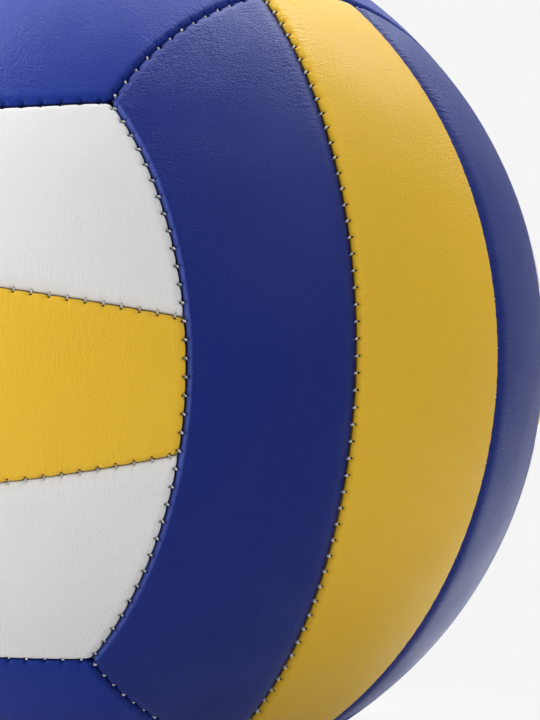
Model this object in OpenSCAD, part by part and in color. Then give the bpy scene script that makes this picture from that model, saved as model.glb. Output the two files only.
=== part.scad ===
// Eighteen-panel volleyball, machine sewn, in millimetres, with +Z up and the origin at its centre.
// Six faces of three strips each. A strip is a skin, turned in along its edges, over a foam pad.
// The turned edges are sewn to their neighbours, round a rubber bladder with its valve at the back.

/* [Ball] */

// Diameter over the crowns of the strips
ball_d = 210; // [180:1:240]
// Angle from a face's middle to the seam beside its middle strip, in degrees
strip_turn = 13.5; // [10:0.5:16]

/* [Cover] */

// Thickness of the skin
skin_t = 1.3; // [0.9:0.1:1.6]
// Thickness of the foam pad under the skin
pad_t = 2; // [1.6:0.1:3]
// Thickness of the edge that is turned in and sewn
edge_t = 1.2; // [0.8:0.1:1.4]
// Radius of the rolled edge beside a seam
roll_r = 2.4; // [1.8:0.1:2.8]
// Gap between two sewn edges
seam_gap = 0.5; // [0.4:0.05:0.8]
// Clearance between a pad and the skin round it
pad_clear = 0.1; // [0.05:0.05:0.2]

/* [Sewing thread] */

// Diameter of the thread between the sewn edges
thread_d = 0.4; // [0.2:0.05:0.4]
// Depth of the thread below the crown of the cover
thread_depth = 2.6; // [2.4:0.1:2.9]

/* [Bladder] */

// Thickness of the bladder's wall
bladder_t = 0.8; // [0.6:0.1:1.2]
// Gap between the cover and the bladder
bladder_gap = 0.3; // [0.1:0.05:0.5]

/* [Valve] */

// Diameter of the valve's nose in the hole of the strip
nose_d = 7; // [6:0.5:9]
// Depth of the nose's face below the crown of the strip
nose_drop = 0.5; // [0.3:0.1:1]
// Clearance round the nose
nose_clear = 0.3; // [0.2:0.05:0.5]
// Diameter of the flange inside the bladder
flange_d = 28; // [22:1:36]
// Thickness of the flange
flange_t = 1; // [0.8:0.1:1.4]
// Gap between the flange and the bladder that it is bonded to
bond_gap = 0.05; // [0.02:0.01:0.1]
// Diameter of the housing at the flange
housing_d = 12; // [11:0.5:14]
// Length of the housing behind the flange
housing_len = 9; // [8:0.5:12]
// Taper of the housing, in degrees
housing_taper = 4; // [2:0.5:6]
// Diameter of the needle bore
needle_d = 2.2; // [1.8:0.1:2.6]
// Length of the needle bore
needle_len = 5; // [4:0.5:5]
// Diameter of the sealing plug
plug_d = 6; // [5:0.5:6.5]
// Length of the sealing plug
plug_len = 6; // [4:0.5:6.5]
// Clearance round the plug
plug_clear = 0.05; // [0.02:0.01:0.1]
// Diameter of the cloth patch behind the strip's hole
patch_d = 36; // [30:1:40]
// Thickness of the cloth patch
patch_t = 0.4; // [0.3:0.1:0.6]

/* [Hidden] */

pale_colour = "white";
middle_colour = "goldenrod";
deep_colour = "royalblue";
pad_colour = "gainsboro";
thread_colour = "silver";
rubber_colour = "dimgray";
plug_colour = "darkgray";

ball_r = ball_d / 2;
cover_t = skin_t + pad_t;
cover_r = ball_r - cover_t;
bladder_r = cover_r - bladder_gap;

// Each outer seam is an arc about a face's middle, between two corners of the cube that the ball is laid out on
corner_turn = acos(1 / sqrt(3));

// Section of a rolled edge: the roll meets the crown and the sewn wall at these small angles
crown_turn = 12;
wall_turn = 15;
roll_x = seam_gap / 2 + roll_r * cos(wall_turn);
roll_y = -roll_r * cos(crown_turn);

// The pad's own walls stand this far from the middle of the seam
pad_inset = seam_gap / 2 + edge_t + pad_clear;

nose_hole_d = nose_d + 2 * nose_clear;
nose_top = ball_r - nose_drop;
flange_top = bladder_r - bladder_t - bond_gap;
plug_top = nose_top - needle_len;
housing_end = flange_top - flange_t - housing_len;

// A thread stops this far short of the thread that it meets
thread_stop = 3 * thread_d;
thread_r = ball_r - thread_depth;
end_thread_turn = 45 - thread_stop / (thread_r * sin(corner_turn)) * 180 / PI;
strip_thread_turn = corner_turn - thread_stop / thread_r * 180 / PI;

$fn = 96;

// Faces are drawn looking out along +Z, with their strips along X, and then turned to their place
module at_top() { rotate([0, 0, 90]) children(); }
module at_bottom() { rotate([180, 0, 90]) children(); }
module at_front() { rotate([90, 0, 0]) children(); }
module at_back() { rotate([90, 0, 180]) children(); }
module at_right() { rotate([180, -90, 0]) children(); }
module at_left() { rotate([0, -90, 0]) children(); }

module shell_between(r_out, r_in) {
    difference() {
        sphere(r = r_out);
        sphere(r = r_in);
    }
}

// Cone about +Z from the centre of the ball, its wall moved inwards by inset
module seam_cone(inset) {
    translate([0, 0, inset / sin(corner_turn)])
        cylinder(h = ball_r, r1 = 0, r2 = ball_r * tan(corner_turn));
}

// What lies outside the seam beside the middle strip, its wall moved outwards by inset
module beyond_strip_seam(inset) {
    rotate([-strip_turn, 0, 0])
        translate([-ball_d, inset, -ball_d])
            cube(2 * ball_d);
}

// What lies on the middle's side of that seam
module before_strip_seam(inset) {
    rotate([-strip_turn, 0, 0])
        translate([-ball_d, inset - 2 * ball_d, -ball_d])
            cube(2 * ball_d);
}

// What is cut away to roll the edges of a seam that runs round the Z axis, turn away from it
module rolled_seam(turn) {
    rotate_extrude()
        rotate(-turn)
            translate([0, ball_r])
                difference() {
                    translate([-roll_x, roll_y])
                        square([2 * roll_x, roll_r - roll_y]);
                    for (side = [-1, 1])
                        translate([side * roll_x, roll_y])
                            circle(r = roll_r);
                }
}

// The wall between two radii over one strip: side is 0 for the middle one, and 1 for its neighbour on +Y
module strip_wall(side, r_out, r_in, inset) {
    difference() {
        intersection() {
            shell_between(r_out, r_in);
            seam_cone(inset);
        }
        if (side == 0) {
            beyond_strip_seam(-inset);
            mirror([0, 1, 0]) beyond_strip_seam(-inset);
        } else {
            before_strip_seam(inset);
            rotate([-90, 0, 0]) seam_cone(-inset);
        }
    }
}

// Rolls the edges along one seam, whose axis leans about X
module rolled_along(turn, lean) {
    difference() {
        children();
        rotate([lean, 0, 0]) rolled_seam(turn);
    }
}

// Skin with its edges turned in all round, like a shallow tray upside down
module skin(side) {
    mirror([0, side < 0 ? 1 : 0, 0])
        difference() {
            rolled_along(side == 0 ? 90 : corner_turn, side == 0 ? 90 + strip_turn : -90)
                rolled_along(90, -90 - strip_turn)
                    rolled_along(corner_turn, 0)
                        strip_wall(abs(side), ball_r, cover_r, seam_gap / 2);
            strip_wall(abs(side), ball_r - skin_t, cover_r - pad_t, seam_gap / 2 + edge_t);
        }
}

module pad(side) {
    mirror([0, side < 0 ? 1 : 0, 0])
        strip_wall(abs(side), ball_r - skin_t - pad_clear, cover_r, pad_inset);
}

// Thread in one seam, on an arc about the Z axis that is centred on +X
module thread_arc(turn, half_arc) {
    rotate([0, 0, -half_arc])
        rotate_extrude(angle = 2 * half_arc)
            translate([thread_r * sin(turn), thread_r * cos(turn)])
                circle(d = thread_d, $fn = 48);
}

// The seam across a face's strip ends, on the +X or the -X side
module end_thread(side) {
    rotate([0, 0, side > 0 ? 0 : 180])
        thread_arc(corner_turn, end_thread_turn);
}

// The two seams beside a face's middle strip
module strip_threads() {
    for (side = [-1, 1])
        rotate([side * (90 + strip_turn), 0, 0])
            rotate([0, 0, -side * 90])
                thread_arc(90, strip_thread_turn);
}

module valve_holed(d) {
    difference() {
        children();
        cylinder(h = ball_d, d = d);
    }
}

// Recess in the back of a pad for the cloth patch
module patch_recessed() {
    difference() {
        children();
        intersection() {
            sphere(r = cover_r + patch_t);
            cylinder(h = ball_d, d = patch_d + 2 * pad_clear);
        }
    }
}

module patch_disc() {
    valve_holed(nose_hole_d)
        intersection() {
            shell_between(cover_r + patch_t - pad_clear, cover_r);
            cylinder(h = ball_d, d = patch_d);
        }
}

module bladder_shell() {
    difference() {
        shell_between(bladder_r, bladder_r - bladder_t);
        at_back() cylinder(h = ball_d, d = nose_hole_d);
    }
}

// Nose, curved flange and tapered housing in one moulding, bored for the needle and the plug
module valve_rubber() {
    difference() {
        union() {
            intersection() {
                shell_between(flange_top, flange_top - flange_t);
                cylinder(h = ball_d, d = flange_d);
            }
            translate([0, 0, flange_top - flange_t / 2 - nose_d / 2])
                cylinder(h = nose_top - flange_top + flange_t / 2 + nose_d / 2, d = nose_d);
            translate([0, 0, housing_end])
                cylinder(
                    h = housing_len + flange_t / 2,
                    d1 = housing_d - 2 * housing_len * tan(housing_taper),
                    d2 = housing_d
                );
        }
        translate([0, 0, housing_end - needle_d])
            cylinder(h = ball_r, d = needle_d);
        translate([0, 0, plug_top - plug_len - plug_clear])
            cylinder(h = plug_len + 2 * plug_clear, d = plug_d + 2 * plug_clear);
    }
}

module plug_solid() {
    translate([0, 0, plug_top - plug_len])
        cylinder(h = plug_len, d = plug_d);
}

module front_upper_skin() { color(pale_colour) at_front() skin(1); }
module front_middle_skin() { color(middle_colour) at_front() skin(0); }
module front_lower_skin() { color(pale_colour) at_front() skin(-1); }
module back_upper_skin() { color(pale_colour) at_back() skin(1); }
module back_middle_skin() { color(middle_colour) at_back() valve_holed(nose_hole_d) skin(0); }
module back_lower_skin() { color(pale_colour) at_back() skin(-1); }
module right_front_skin() { color(deep_colour) at_right() skin(1); }
module right_middle_skin() { color(middle_colour) at_right() skin(0); }
module right_rear_skin() { color(deep_colour) at_right() skin(-1); }
module left_rear_skin() { color(deep_colour) at_left() skin(1); }
module left_middle_skin() { color(middle_colour) at_left() skin(0); }
module left_front_skin() { color(deep_colour) at_left() skin(-1); }
module top_left_skin() { color(deep_colour) at_top() skin(1); }
module top_middle_skin() { color(middle_colour) at_top() skin(0); }
module top_right_skin() { color(deep_colour) at_top() skin(-1); }
module bottom_right_skin() { color(deep_colour) at_bottom() skin(1); }
module bottom_middle_skin() { color(middle_colour) at_bottom() skin(0); }
module bottom_left_skin() { color(deep_colour) at_bottom() skin(-1); }
module front_upper_pad() { color(pad_colour) at_front() pad(1); }
module front_middle_pad() { color(pad_colour) at_front() pad(0); }
module front_lower_pad() { color(pad_colour) at_front() pad(-1); }
module back_upper_pad() { color(pad_colour) at_back() pad(1); }
module back_middle_pad() { color(pad_colour) at_back() patch_recessed() valve_holed(nose_hole_d) pad(0); }
module back_lower_pad() { color(pad_colour) at_back() pad(-1); }
module right_front_pad() { color(pad_colour) at_right() pad(1); }
module right_middle_pad() { color(pad_colour) at_right() pad(0); }
module right_rear_pad() { color(pad_colour) at_right() pad(-1); }
module left_rear_pad() { color(pad_colour) at_left() pad(1); }
module left_middle_pad() { color(pad_colour) at_left() pad(0); }
module left_front_pad() { color(pad_colour) at_left() pad(-1); }
module top_left_pad() { color(pad_colour) at_top() pad(1); }
module top_middle_pad() { color(pad_colour) at_top() pad(0); }
module top_right_pad() { color(pad_colour) at_top() pad(-1); }
module bottom_right_pad() { color(pad_colour) at_bottom() pad(1); }
module bottom_middle_pad() { color(pad_colour) at_bottom() pad(0); }
module bottom_left_pad() { color(pad_colour) at_bottom() pad(-1); }
module front_strip_threads() { color(thread_colour) at_front() strip_threads(); }
module back_strip_threads() { color(thread_colour) at_back() strip_threads(); }
module right_strip_threads() { color(thread_colour) at_right() strip_threads(); }
module left_strip_threads() { color(thread_colour) at_left() strip_threads(); }
module top_strip_threads() { color(thread_colour) at_top() strip_threads(); }
module bottom_strip_threads() { color(thread_colour) at_bottom() strip_threads(); }
module front_right_seam_thread() { color(thread_colour) at_front() end_thread(1); }
module front_left_seam_thread() { color(thread_colour) at_front() end_thread(-1); }
module back_left_seam_thread() { color(thread_colour) at_back() end_thread(1); }
module back_right_seam_thread() { color(thread_colour) at_back() end_thread(-1); }
module right_top_seam_thread() { color(thread_colour) at_right() end_thread(1); }
module right_bottom_seam_thread() { color(thread_colour) at_right() end_thread(-1); }
module left_top_seam_thread() { color(thread_colour) at_left() end_thread(1); }
module left_bottom_seam_thread() { color(thread_colour) at_left() end_thread(-1); }
module top_back_seam_thread() { color(thread_colour) at_top() end_thread(1); }
module top_front_seam_thread() { color(thread_colour) at_top() end_thread(-1); }
module bottom_back_seam_thread() { color(thread_colour) at_bottom() end_thread(1); }
module bottom_front_seam_thread() { color(thread_colour) at_bottom() end_thread(-1); }
module bladder() { color(rubber_colour) bladder_shell(); }
module valve_body() { color(rubber_colour) at_back() valve_rubber(); }
module valve_plug() { color(plug_colour) at_back() plug_solid(); }
module valve_patch() { color(pad_colour) at_back() patch_disc(); }

front_upper_skin();
front_middle_skin();
front_lower_skin();
back_upper_skin();
back_middle_skin();
back_lower_skin();
right_front_skin();
right_middle_skin();
right_rear_skin();
left_rear_skin();
left_middle_skin();
left_front_skin();
top_left_skin();
top_middle_skin();
top_right_skin();
bottom_right_skin();
bottom_middle_skin();
bottom_left_skin();
front_upper_pad();
front_middle_pad();
front_lower_pad();
back_upper_pad();
back_middle_pad();
back_lower_pad();
right_front_pad();
right_middle_pad();
right_rear_pad();
left_rear_pad();
left_middle_pad();
left_front_pad();
top_left_pad();
top_middle_pad();
top_right_pad();
bottom_right_pad();
bottom_middle_pad();
bottom_left_pad();
front_strip_threads();
back_strip_threads();
right_strip_threads();
left_strip_threads();
top_strip_threads();
bottom_strip_threads();
front_right_seam_thread();
front_left_seam_thread();
back_left_seam_thread();
back_right_seam_thread();
right_top_seam_thread();
right_bottom_seam_thread();
left_top_seam_thread();
left_bottom_seam_thread();
top_back_seam_thread();
top_front_seam_thread();
bottom_back_seam_thread();
bottom_front_seam_thread();
bladder();
valve_body();
valve_plug();
valve_patch();
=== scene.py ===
# Sewn volleyball: padded strips, their stitches and the valve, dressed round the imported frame
import bpy
import math
import numpy as np
from mathutils import Matrix


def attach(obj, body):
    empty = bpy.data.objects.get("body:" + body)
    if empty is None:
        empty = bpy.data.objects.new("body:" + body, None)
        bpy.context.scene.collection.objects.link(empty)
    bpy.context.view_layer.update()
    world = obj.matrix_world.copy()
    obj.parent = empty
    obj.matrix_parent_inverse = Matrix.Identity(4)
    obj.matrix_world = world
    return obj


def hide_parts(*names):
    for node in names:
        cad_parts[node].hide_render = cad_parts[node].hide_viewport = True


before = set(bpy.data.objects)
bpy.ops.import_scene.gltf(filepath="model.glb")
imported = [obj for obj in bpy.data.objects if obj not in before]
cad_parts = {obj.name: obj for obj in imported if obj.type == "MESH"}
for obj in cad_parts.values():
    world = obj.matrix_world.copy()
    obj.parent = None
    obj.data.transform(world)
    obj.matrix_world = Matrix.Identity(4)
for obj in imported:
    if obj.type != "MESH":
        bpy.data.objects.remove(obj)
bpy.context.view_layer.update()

scene = bpy.context.scene
scene.view_settings.view_transform = "Standard"

# what the whole ball shares, in mm and degrees
ball = {
    "radius": 105.0,      # centre to the crown of a strip
    "stripTurn": 13.5,    # from a face's middle to the seam beside its middle strip
    "faceStitches": 34,   # stitches in a seam between two faces
    "stripStitches": 52,  # stitches in a seam beside a middle strip
}
radius = ball["radius"]
stripTurn = math.radians(ball["stripTurn"])
cornerTurn = math.acos(1 / math.sqrt(3))  # every face seam is a circle this far from a face's middle

# each face's axes: along its strips, across them, and out
faceAxes = {
    "front": ((1, 0, 0), (0, 0, 1), (0, -1, 0)),
    "back": ((-1, 0, 0), (0, 0, 1), (0, 1, 0)),
    "right": ((0, 0, 1), (0, -1, 0), (1, 0, 0)),
    "left": ((0, 0, 1), (0, 1, 0), (-1, 0, 0)),
    "top": ((0, 1, 0), (-1, 0, 0), (0, 0, 1)),
    "bottom": ((0, 1, 0), (1, 0, 0), (0, 0, -1)),
}
stripNames = {
    "front": ("upper", "middle", "lower"),
    "back": ("upper", "middle", "lower"),
    "right": ("front", "middle", "rear"),
    "left": ("rear", "middle", "front"),
    "top": ("left", "middle", "right"),
    "bottom": ("right", "middle", "left"),
}
# the neighbours that a face's strip ends meet, where its strips run to and where they start
endNames = {
    "front": ("right", "left"),
    "back": ("left", "right"),
    "right": ("top", "bottom"),
    "left": ("top", "bottom"),
    "top": ("back", "front"),
    "bottom": ("back", "front"),
}


def unit(v):
    return v / np.linalg.norm(v, axis=-1, keepdims=True)


def newObject(name, data):
    made = bpy.data.objects.new(name, data)
    scene.collection.objects.link(made)
    return made


# A seam is a circle on the ball: its axis, its angle from that axis, and two directions that
# count the way along it. The strip lies on the axis's side.
def seam(axis, turn, start, along, half, stitches):
    arc = radius * math.sin(turn)
    return {
        "axis": np.array(axis, float), "turn": turn,
        "start": np.array(start, float), "along": np.array(along, float),
        "half": half * arc, "pitch": 2 * half * arc / stitches, "stitches": stitches,
    }


# A seam between two faces
def faceSeam(axis, turn, start, along):
    return seam(axis, turn, start, along, math.pi / 4, ball["faceStitches"])


# A seam beside a middle strip: side is the side of it on which the piece lies, and kind is 1
# when that is the middle strip and -1 when it is an outer one
def stripSeam(side, kind):
    cosine, sine = math.cos(stripTurn), math.sin(stripTurn)
    reach = math.acos(math.cos(cornerTurn) / cosine)  # where it runs out at the strip's ends
    return seam((0, side * cosine, kind * sine), math.pi / 2, (0, -side * kind * sine, cosine),
                (1, 0, 0), reach, ball["stripStitches"])


endSeam = faceSeam((0, 0, 1), cornerTurn, (1, 0, 0), (0, 1, 0))
farEndSeam = faceSeam((0, 0, 1), cornerTurn, (-1, 0, 0), (0, 1, 0))
sideSeam = faceSeam((0, -1, 0), math.pi - cornerTurn, (0, 0, 1), (1, 0, 0))
lowSeam, highSeam, innerSeam = stripSeam(1, 1), stripSeam(-1, 1), stripSeam(1, -1)
# low side, high side and ends of each kind of strip
middleSeams = (lowSeam, highSeam, endSeam)
outerSeams = (innerSeam, sideSeam, endSeam)


# Distance from a seam in mm, the direction away from it, and the way along it in mm
def measureSeam(q, s):
    cosine = np.clip(q @ s["axis"], -1, 1)
    distance = (s["turn"] - np.arccos(cosine)) * radius
    away = unit(s["axis"] - q * cosine[..., None])
    across = q @ s["start"]
    if s is endSeam:
        across = np.abs(across)
    way = np.arctan2(q @ s["along"], across) * radius * math.sin(s["turn"])
    return distance, away, way


# Points at one distance x from a seam: a circle nearer the axis, swept by the angle w along it
def besideSeam(s, x, w):
    turn = (s["turn"] - x / radius)[..., None]
    spoke = np.cos(w)[..., None] * s["start"] + np.sin(w)[..., None] * s["along"]
    return np.cos(turn) * s["axis"] + np.sin(turn) * spoke


# Loops round a strip, one for each inset x. Each side runs beside its seam between the two
# points that are x away from that seam and from the end seam as well.
def rimLoops(seams, x, alongCount, acrossCount):
    low, high, end = seams
    x = np.asarray(x, float)[:, None]
    endHeight = np.cos(end["turn"] - x / radius)
    share = np.linspace(0, 1, alongCount, endpoint=False)[None, :]
    acrossShare = np.linspace(0, 1, acrossCount, endpoint=False)[None, :]

    def sideReach(s):
        turn = s["turn"] - x / radius
        return np.arccos((endHeight - np.cos(turn) * s["axis"][2]) / (np.sin(turn) * s["start"][2]))

    def endWay(s):
        turn = s["turn"] - x / radius
        crossing = (np.cos(turn) - endHeight * s["axis"][2]) / s["axis"][1]
        return np.arcsin(crossing / np.sin(end["turn"] - x / radius))

    lowReach, highReach = sideReach(low), sideReach(high)
    lowWay, highWay = endWay(low), endWay(high)
    sides = [
        besideSeam(low, x + 0 * share, lowReach * (2 * share - 1)),
        besideSeam(end, x + 0 * acrossShare, lowWay + (highWay - lowWay) * acrossShare),
        besideSeam(high, x + 0 * share, highReach * (1 - 2 * share)),
        besideSeam(end, x + 0 * acrossShare, math.pi - (highWay + (lowWay - highWay) * acrossShare)),
    ]
    return np.concatenate(sides, axis=1)


# Surface inside a loop: the two pairs of facing edges are blended, less what the corners
# count twice, and the result is pushed out to the sphere.
def fillLoop(loop, alongCount, acrossCount):
    low = loop[:alongCount + 1]
    end = loop[alongCount:alongCount + acrossCount + 1]
    high = loop[alongCount + acrossCount:2 * alongCount + acrossCount + 1][::-1]
    start = np.concatenate([loop[2 * alongCount + acrossCount:], loop[:1]])[::-1]
    u = np.linspace(0, 1, alongCount + 1)[:, None, None]
    v = np.linspace(0, 1, acrossCount + 1)[None, :, None]
    blend = (1 - v) * low[:, None] + v * high[:, None] + (1 - u) * start[None] + u * end[None]
    corners = ((1 - u) * (1 - v) * low[0] + u * (1 - v) * low[-1]
               + (1 - u) * v * high[0] + u * v * high[-1])
    return unit(blend - corners)


# A shell gathers points and faces until its mesh is made
def newShell():
    return {"points": [], "marks": [], "stitches": [], "quads": [], "triangles": [], "count": 0}


def addPoints(shell, points, mark=0.0, stitch=0.0):
    flat = points.reshape(-1, 3)
    first = shell["count"]
    shell["points"].append(flat)
    shell["marks"].append(np.broadcast_to(np.asarray(mark, float), points.shape[:-1]).reshape(-1))
    shell["stitches"].append(np.broadcast_to(np.asarray(stitch, float), points.shape).reshape(-1, 3))
    shell["count"] += len(flat)
    return first + np.arange(len(flat)).reshape(points.shape[:-1])


# Faces between closed loops of as many points, each lying inside the one before
def joinRows(shell, loops):
    for a, b in zip(loops[:-1], loops[1:]):
        shell["quads"].append(np.stack([a, np.roll(a, -1), np.roll(b, -1), b], axis=1))


# A fan of triangles on each coarse edge joins a loop to one with fewer points. With inside
# false the two loops look inwards.
def joinFinerLoop(shell, fine, coarse, inside=True):
    ratio = len(fine) // len(coarse)
    after = np.roll(coarse, -1)
    fineAfter = np.roll(fine, -1)
    half = (ratio + 1) // 2
    fans = [np.stack([fine[k::ratio], fineAfter[k::ratio], coarse if k < half else after], axis=1)
            for k in range(ratio)]
    fans.append(np.stack([fine[half::ratio], after, coarse], axis=1))
    faces = np.concatenate(fans)
    shell["triangles"].append(faces if inside else faces[:, ::-1])


def gridBorder(index):
    return np.concatenate([index[:-1, 0], index[-1, :-1], index[:0:-1, -1], index[0, :0:-1]])


def addGridFaces(shell, index, outward, block=None):
    quads = np.stack([index[:-1, :-1], index[1:, :-1], index[1:, 1:], index[:-1, 1:]], axis=-1)
    keep = np.ones(quads.shape[:2], bool)
    if block is not None:
        keep[block] = False
    quads = quads[keep]
    shell["quads"].append(quads if outward else quads[:, ::-1])


settling = {
    "low": 3.2,           # how far the settled seam lies down, in mm
    "reach": 13.0,        # how far from it that is felt
    "start": 0.5,         # where it starts to fade, from its middle at 0 to its corners at 1
    "end": 1.3,
    "viewSide": (0.67, -0.73, 0.07),
    "valveSide": -0.5,    # the drift is gone this far round, by the cosine from the view side
    # drift along each axis, in mm, fitted to the photographed seams, for each term of a point's
    # direction
    "drift": {
        "1": (-1.56, -0.20, -0.79),
        "x": (-0.25, -0.22, 0.0),
        "y": (0.78, -0.33, 0.73),
        "z": (0.28, 1.44, 0.20),
        "xy": (0.13, -1.89, -0.55),
        "yz": (-0.52, 1.49, 0.38),
        "zx": (-0.49, 2.01, -0.99),
        "xx": (2.79, -0.28, 1.99),
        "zz": (0.74, 0.65, -1.05),
    },
}


# A smooth step, 3 t^2 - 2 t^3, of the way t from low to high
def smooth(value, low, high):
    t = np.clip((value - low) / (high - low), 0, 1)
    return t * t * (3 - 2 * t)


# The photographed ball's seams lie a little off true circles. The one between the top and front
# faces has settled: points near it turn down by low (1 - s(u)) exp(-(d / reach)^2) mm, where u
# is the way from its middle, 1 at its corners, d the distance from it, and s a smooth step.
# Points on the photographed side also drift along the ball by a few mm at most, a quadratic in
# their direction that fades out before the valve.
def settle(points):
    height = np.linalg.norm(points, axis=1, keepdims=True)
    q = points / height
    gap = (np.arccos(np.clip(q[:, 2], -1, 1)) - cornerTurn) * radius
    u = np.abs(np.arctan2(q[:, 0], -q[:, 1])) / (math.pi / 4)
    share = 1 - smooth(u, settling["start"], settling["end"])
    move = settling["low"] * share * np.exp(-(gap / settling["reach"]) ** 2) / radius
    down = q * q[:, 2:] - np.array([0, 0, 1])
    down /= np.maximum(np.linalg.norm(down, axis=1, keepdims=True), 0.01)
    x, y, z = q.T
    terms = np.stack([np.ones(len(q)), x, y, z, x * y, y * z, z * x, x * x, z * z], axis=1)
    drift = terms @ np.array(list(settling["drift"].values())) / radius
    drift -= q * (q * drift).sum(axis=1, keepdims=True)
    drift *= smooth(q @ np.array(settling["viewSide"]), settling["valveSide"], 0.0)[:, None]
    return height * unit(q * np.cos(move)[:, None] + down * np.sin(move)[:, None] + drift)


# Puts points given along a face's own axes, in mm, into the ball's frame, in metres
def toBall(points, face):
    return settle(points @ np.array(faceAxes[face], float) / 1000)


# Six times the volume inside the faces: the sum of a . (b x c) over their triangles
def signedVolume(points, quads, triangles):
    three = np.concatenate([quads[:, [0, 1, 2]], quads[:, [0, 2, 3]], triangles])
    a, b, c = points[three[:, 0]], points[three[:, 1]], points[three[:, 2]]
    return np.einsum("ij,ij->i", a, np.cross(b, c)).sum()


def addMarks(mesh, name, kind, key, values):
    layer = mesh.attributes.new(name, kind, "POINT")
    layer.data.foreach_set(key, values.astype(np.float32).ravel())


# Makes a piece from a shell, with its faces outwards. Mirrored, its own second axis is turned.
def finishShell(shell, name, face, mirror=False, markName="seamGap"):
    ownPoints = np.concatenate(shell["points"])
    points = toBall(ownPoints * np.array([1, -1 if mirror else 1, 1]), face)
    quads = np.concatenate(shell["quads"])
    triangles = np.concatenate(shell["triangles"]) if shell["triangles"] else np.zeros((0, 3), int)
    if signedVolume(points, quads, triangles) < 0:
        quads, triangles = quads[:, ::-1], triangles[:, ::-1]
    mesh = bpy.data.meshes.new(name)
    mesh.from_pydata(points.tolist(), [], quads.tolist() + triangles.tolist())
    addMarks(mesh, markName, "FLOAT", "value", np.concatenate(shell["marks"]))
    stitches = np.concatenate(shell["stitches"])
    if stitches.any():
        addMarks(mesh, "stitchPlace", "FLOAT_VECTOR", "vector", stitches)
        addMarks(mesh, "stripPlace", "FLOAT_VECTOR", "vector", ownPoints / 1000)
    mesh.polygons.foreach_set("use_smooth", np.ones(len(mesh.polygons), bool))
    mesh.update()
    piece = newObject(name, mesh)
    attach(piece, "root")
    return piece


# Lays the crown and the underside. A holed piece leaves out a block of cells in the middle of
# both and has rings there instead, given as (share, drop, mark): a ring lies at that share of
# the way from the hole to the block's border, and drop mm below the crown.
def closeGrids(shell, crown, under, blockReach, rings):
    block = None
    if blockReach:
        middle = [n // 2 for n in crown.shape]
        block = tuple(slice(m - r, m + r) for m, r in zip(middle, blockReach))
        corner = tuple(slice(m - r, m + r + 1) for m, r in zip(middle, blockReach))
        loops = [gridBorder(crown[corner])]
        flat = np.concatenate(shell["points"])[loops[0]]
        turn = np.arctan2(flat[:, 1], flat[:, 0])
        outer = np.hypot(flat[:, 0], flat[:, 1])
        for share, drop, mark in rings:
            r = strip["valveHole"] + (outer - strip["valveHole"]) * share
            height = np.sqrt((radius - drop) ** 2 - r ** 2)
            ring = np.stack([r * np.cos(turn), r * np.sin(turn), height], axis=1)
            loops.append(addPoints(shell, ring, mark))
        joinRows(shell, [*loops, gridBorder(under[corner])])
    addGridFaces(shell, crown, True, block)
    addGridFaces(shell, under, False, block)


sewing = {
    "broadSink": 0.2,     # how far the padding sinks beside a seam, in mm
    "broadReach": 5.0,    # how far from the seam that is felt
    "ridgePlace": 1.8,    # the low ridge behind an edge's slope
    "ridgeReach": 0.85,
    "bevelSoft": 0.04,    # how softly a bevel ends
    "pucker": 0.14,       # extra sink at each stitch
    "puckerReach": 1.1,
    "pullReach": 0.7,     # how far from the seam a stitch draws the edge back
    "narrow": 2.2,        # how narrow that is along the seam, and a hole
    "holeNarrow": 7.0,
    "holeDepth": 0.9,     # needle hole
    "holePlace": 0.5,
    "holeWidth": 0.28,
    "endFade": 1.8,       # stitches fade this close to a seam's end
    "markStop": 0.9,      # and their count stops this close to it
    "cornerSink": 0.15,   # where three strips meet
    "cornerReach": 3.0,
}
# each kind of edge: its slope into the seam and how far that reaches, the low ridge behind it,
# how much closer it lies to the other edge, how far a stitch draws it back, how open its needle
# holes are, and whether the slope is a straight bevel (1) or a bell curve (0)
edgeValues = ("slope", "reach", "ridge", "close", "pull", "holes", "bevel")
edgeKinds = {
    "side": (0.95, 1.15, 0.06, 0.0, 0.08, 0.5, 1),
    "end": (0.35, 1.3, 0.08, 0.0, 0.4, 1.0, 0),
    "inner": (1.1, 2.0, 0.0, 0.07, 0.05, 0.3, 0),
    "middle": (0.6, 0.85, 0.05, 0.07, 0.2, 1.0, 0),
}


def edgeOf(s):
    kind = "middle"
    for name, one in (("end", endSeam), ("side", sideSeam), ("inner", innerSeam)):
        kind = name if s is one else kind
    return dict(zip(edgeValues, edgeKinds[kind]))


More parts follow.
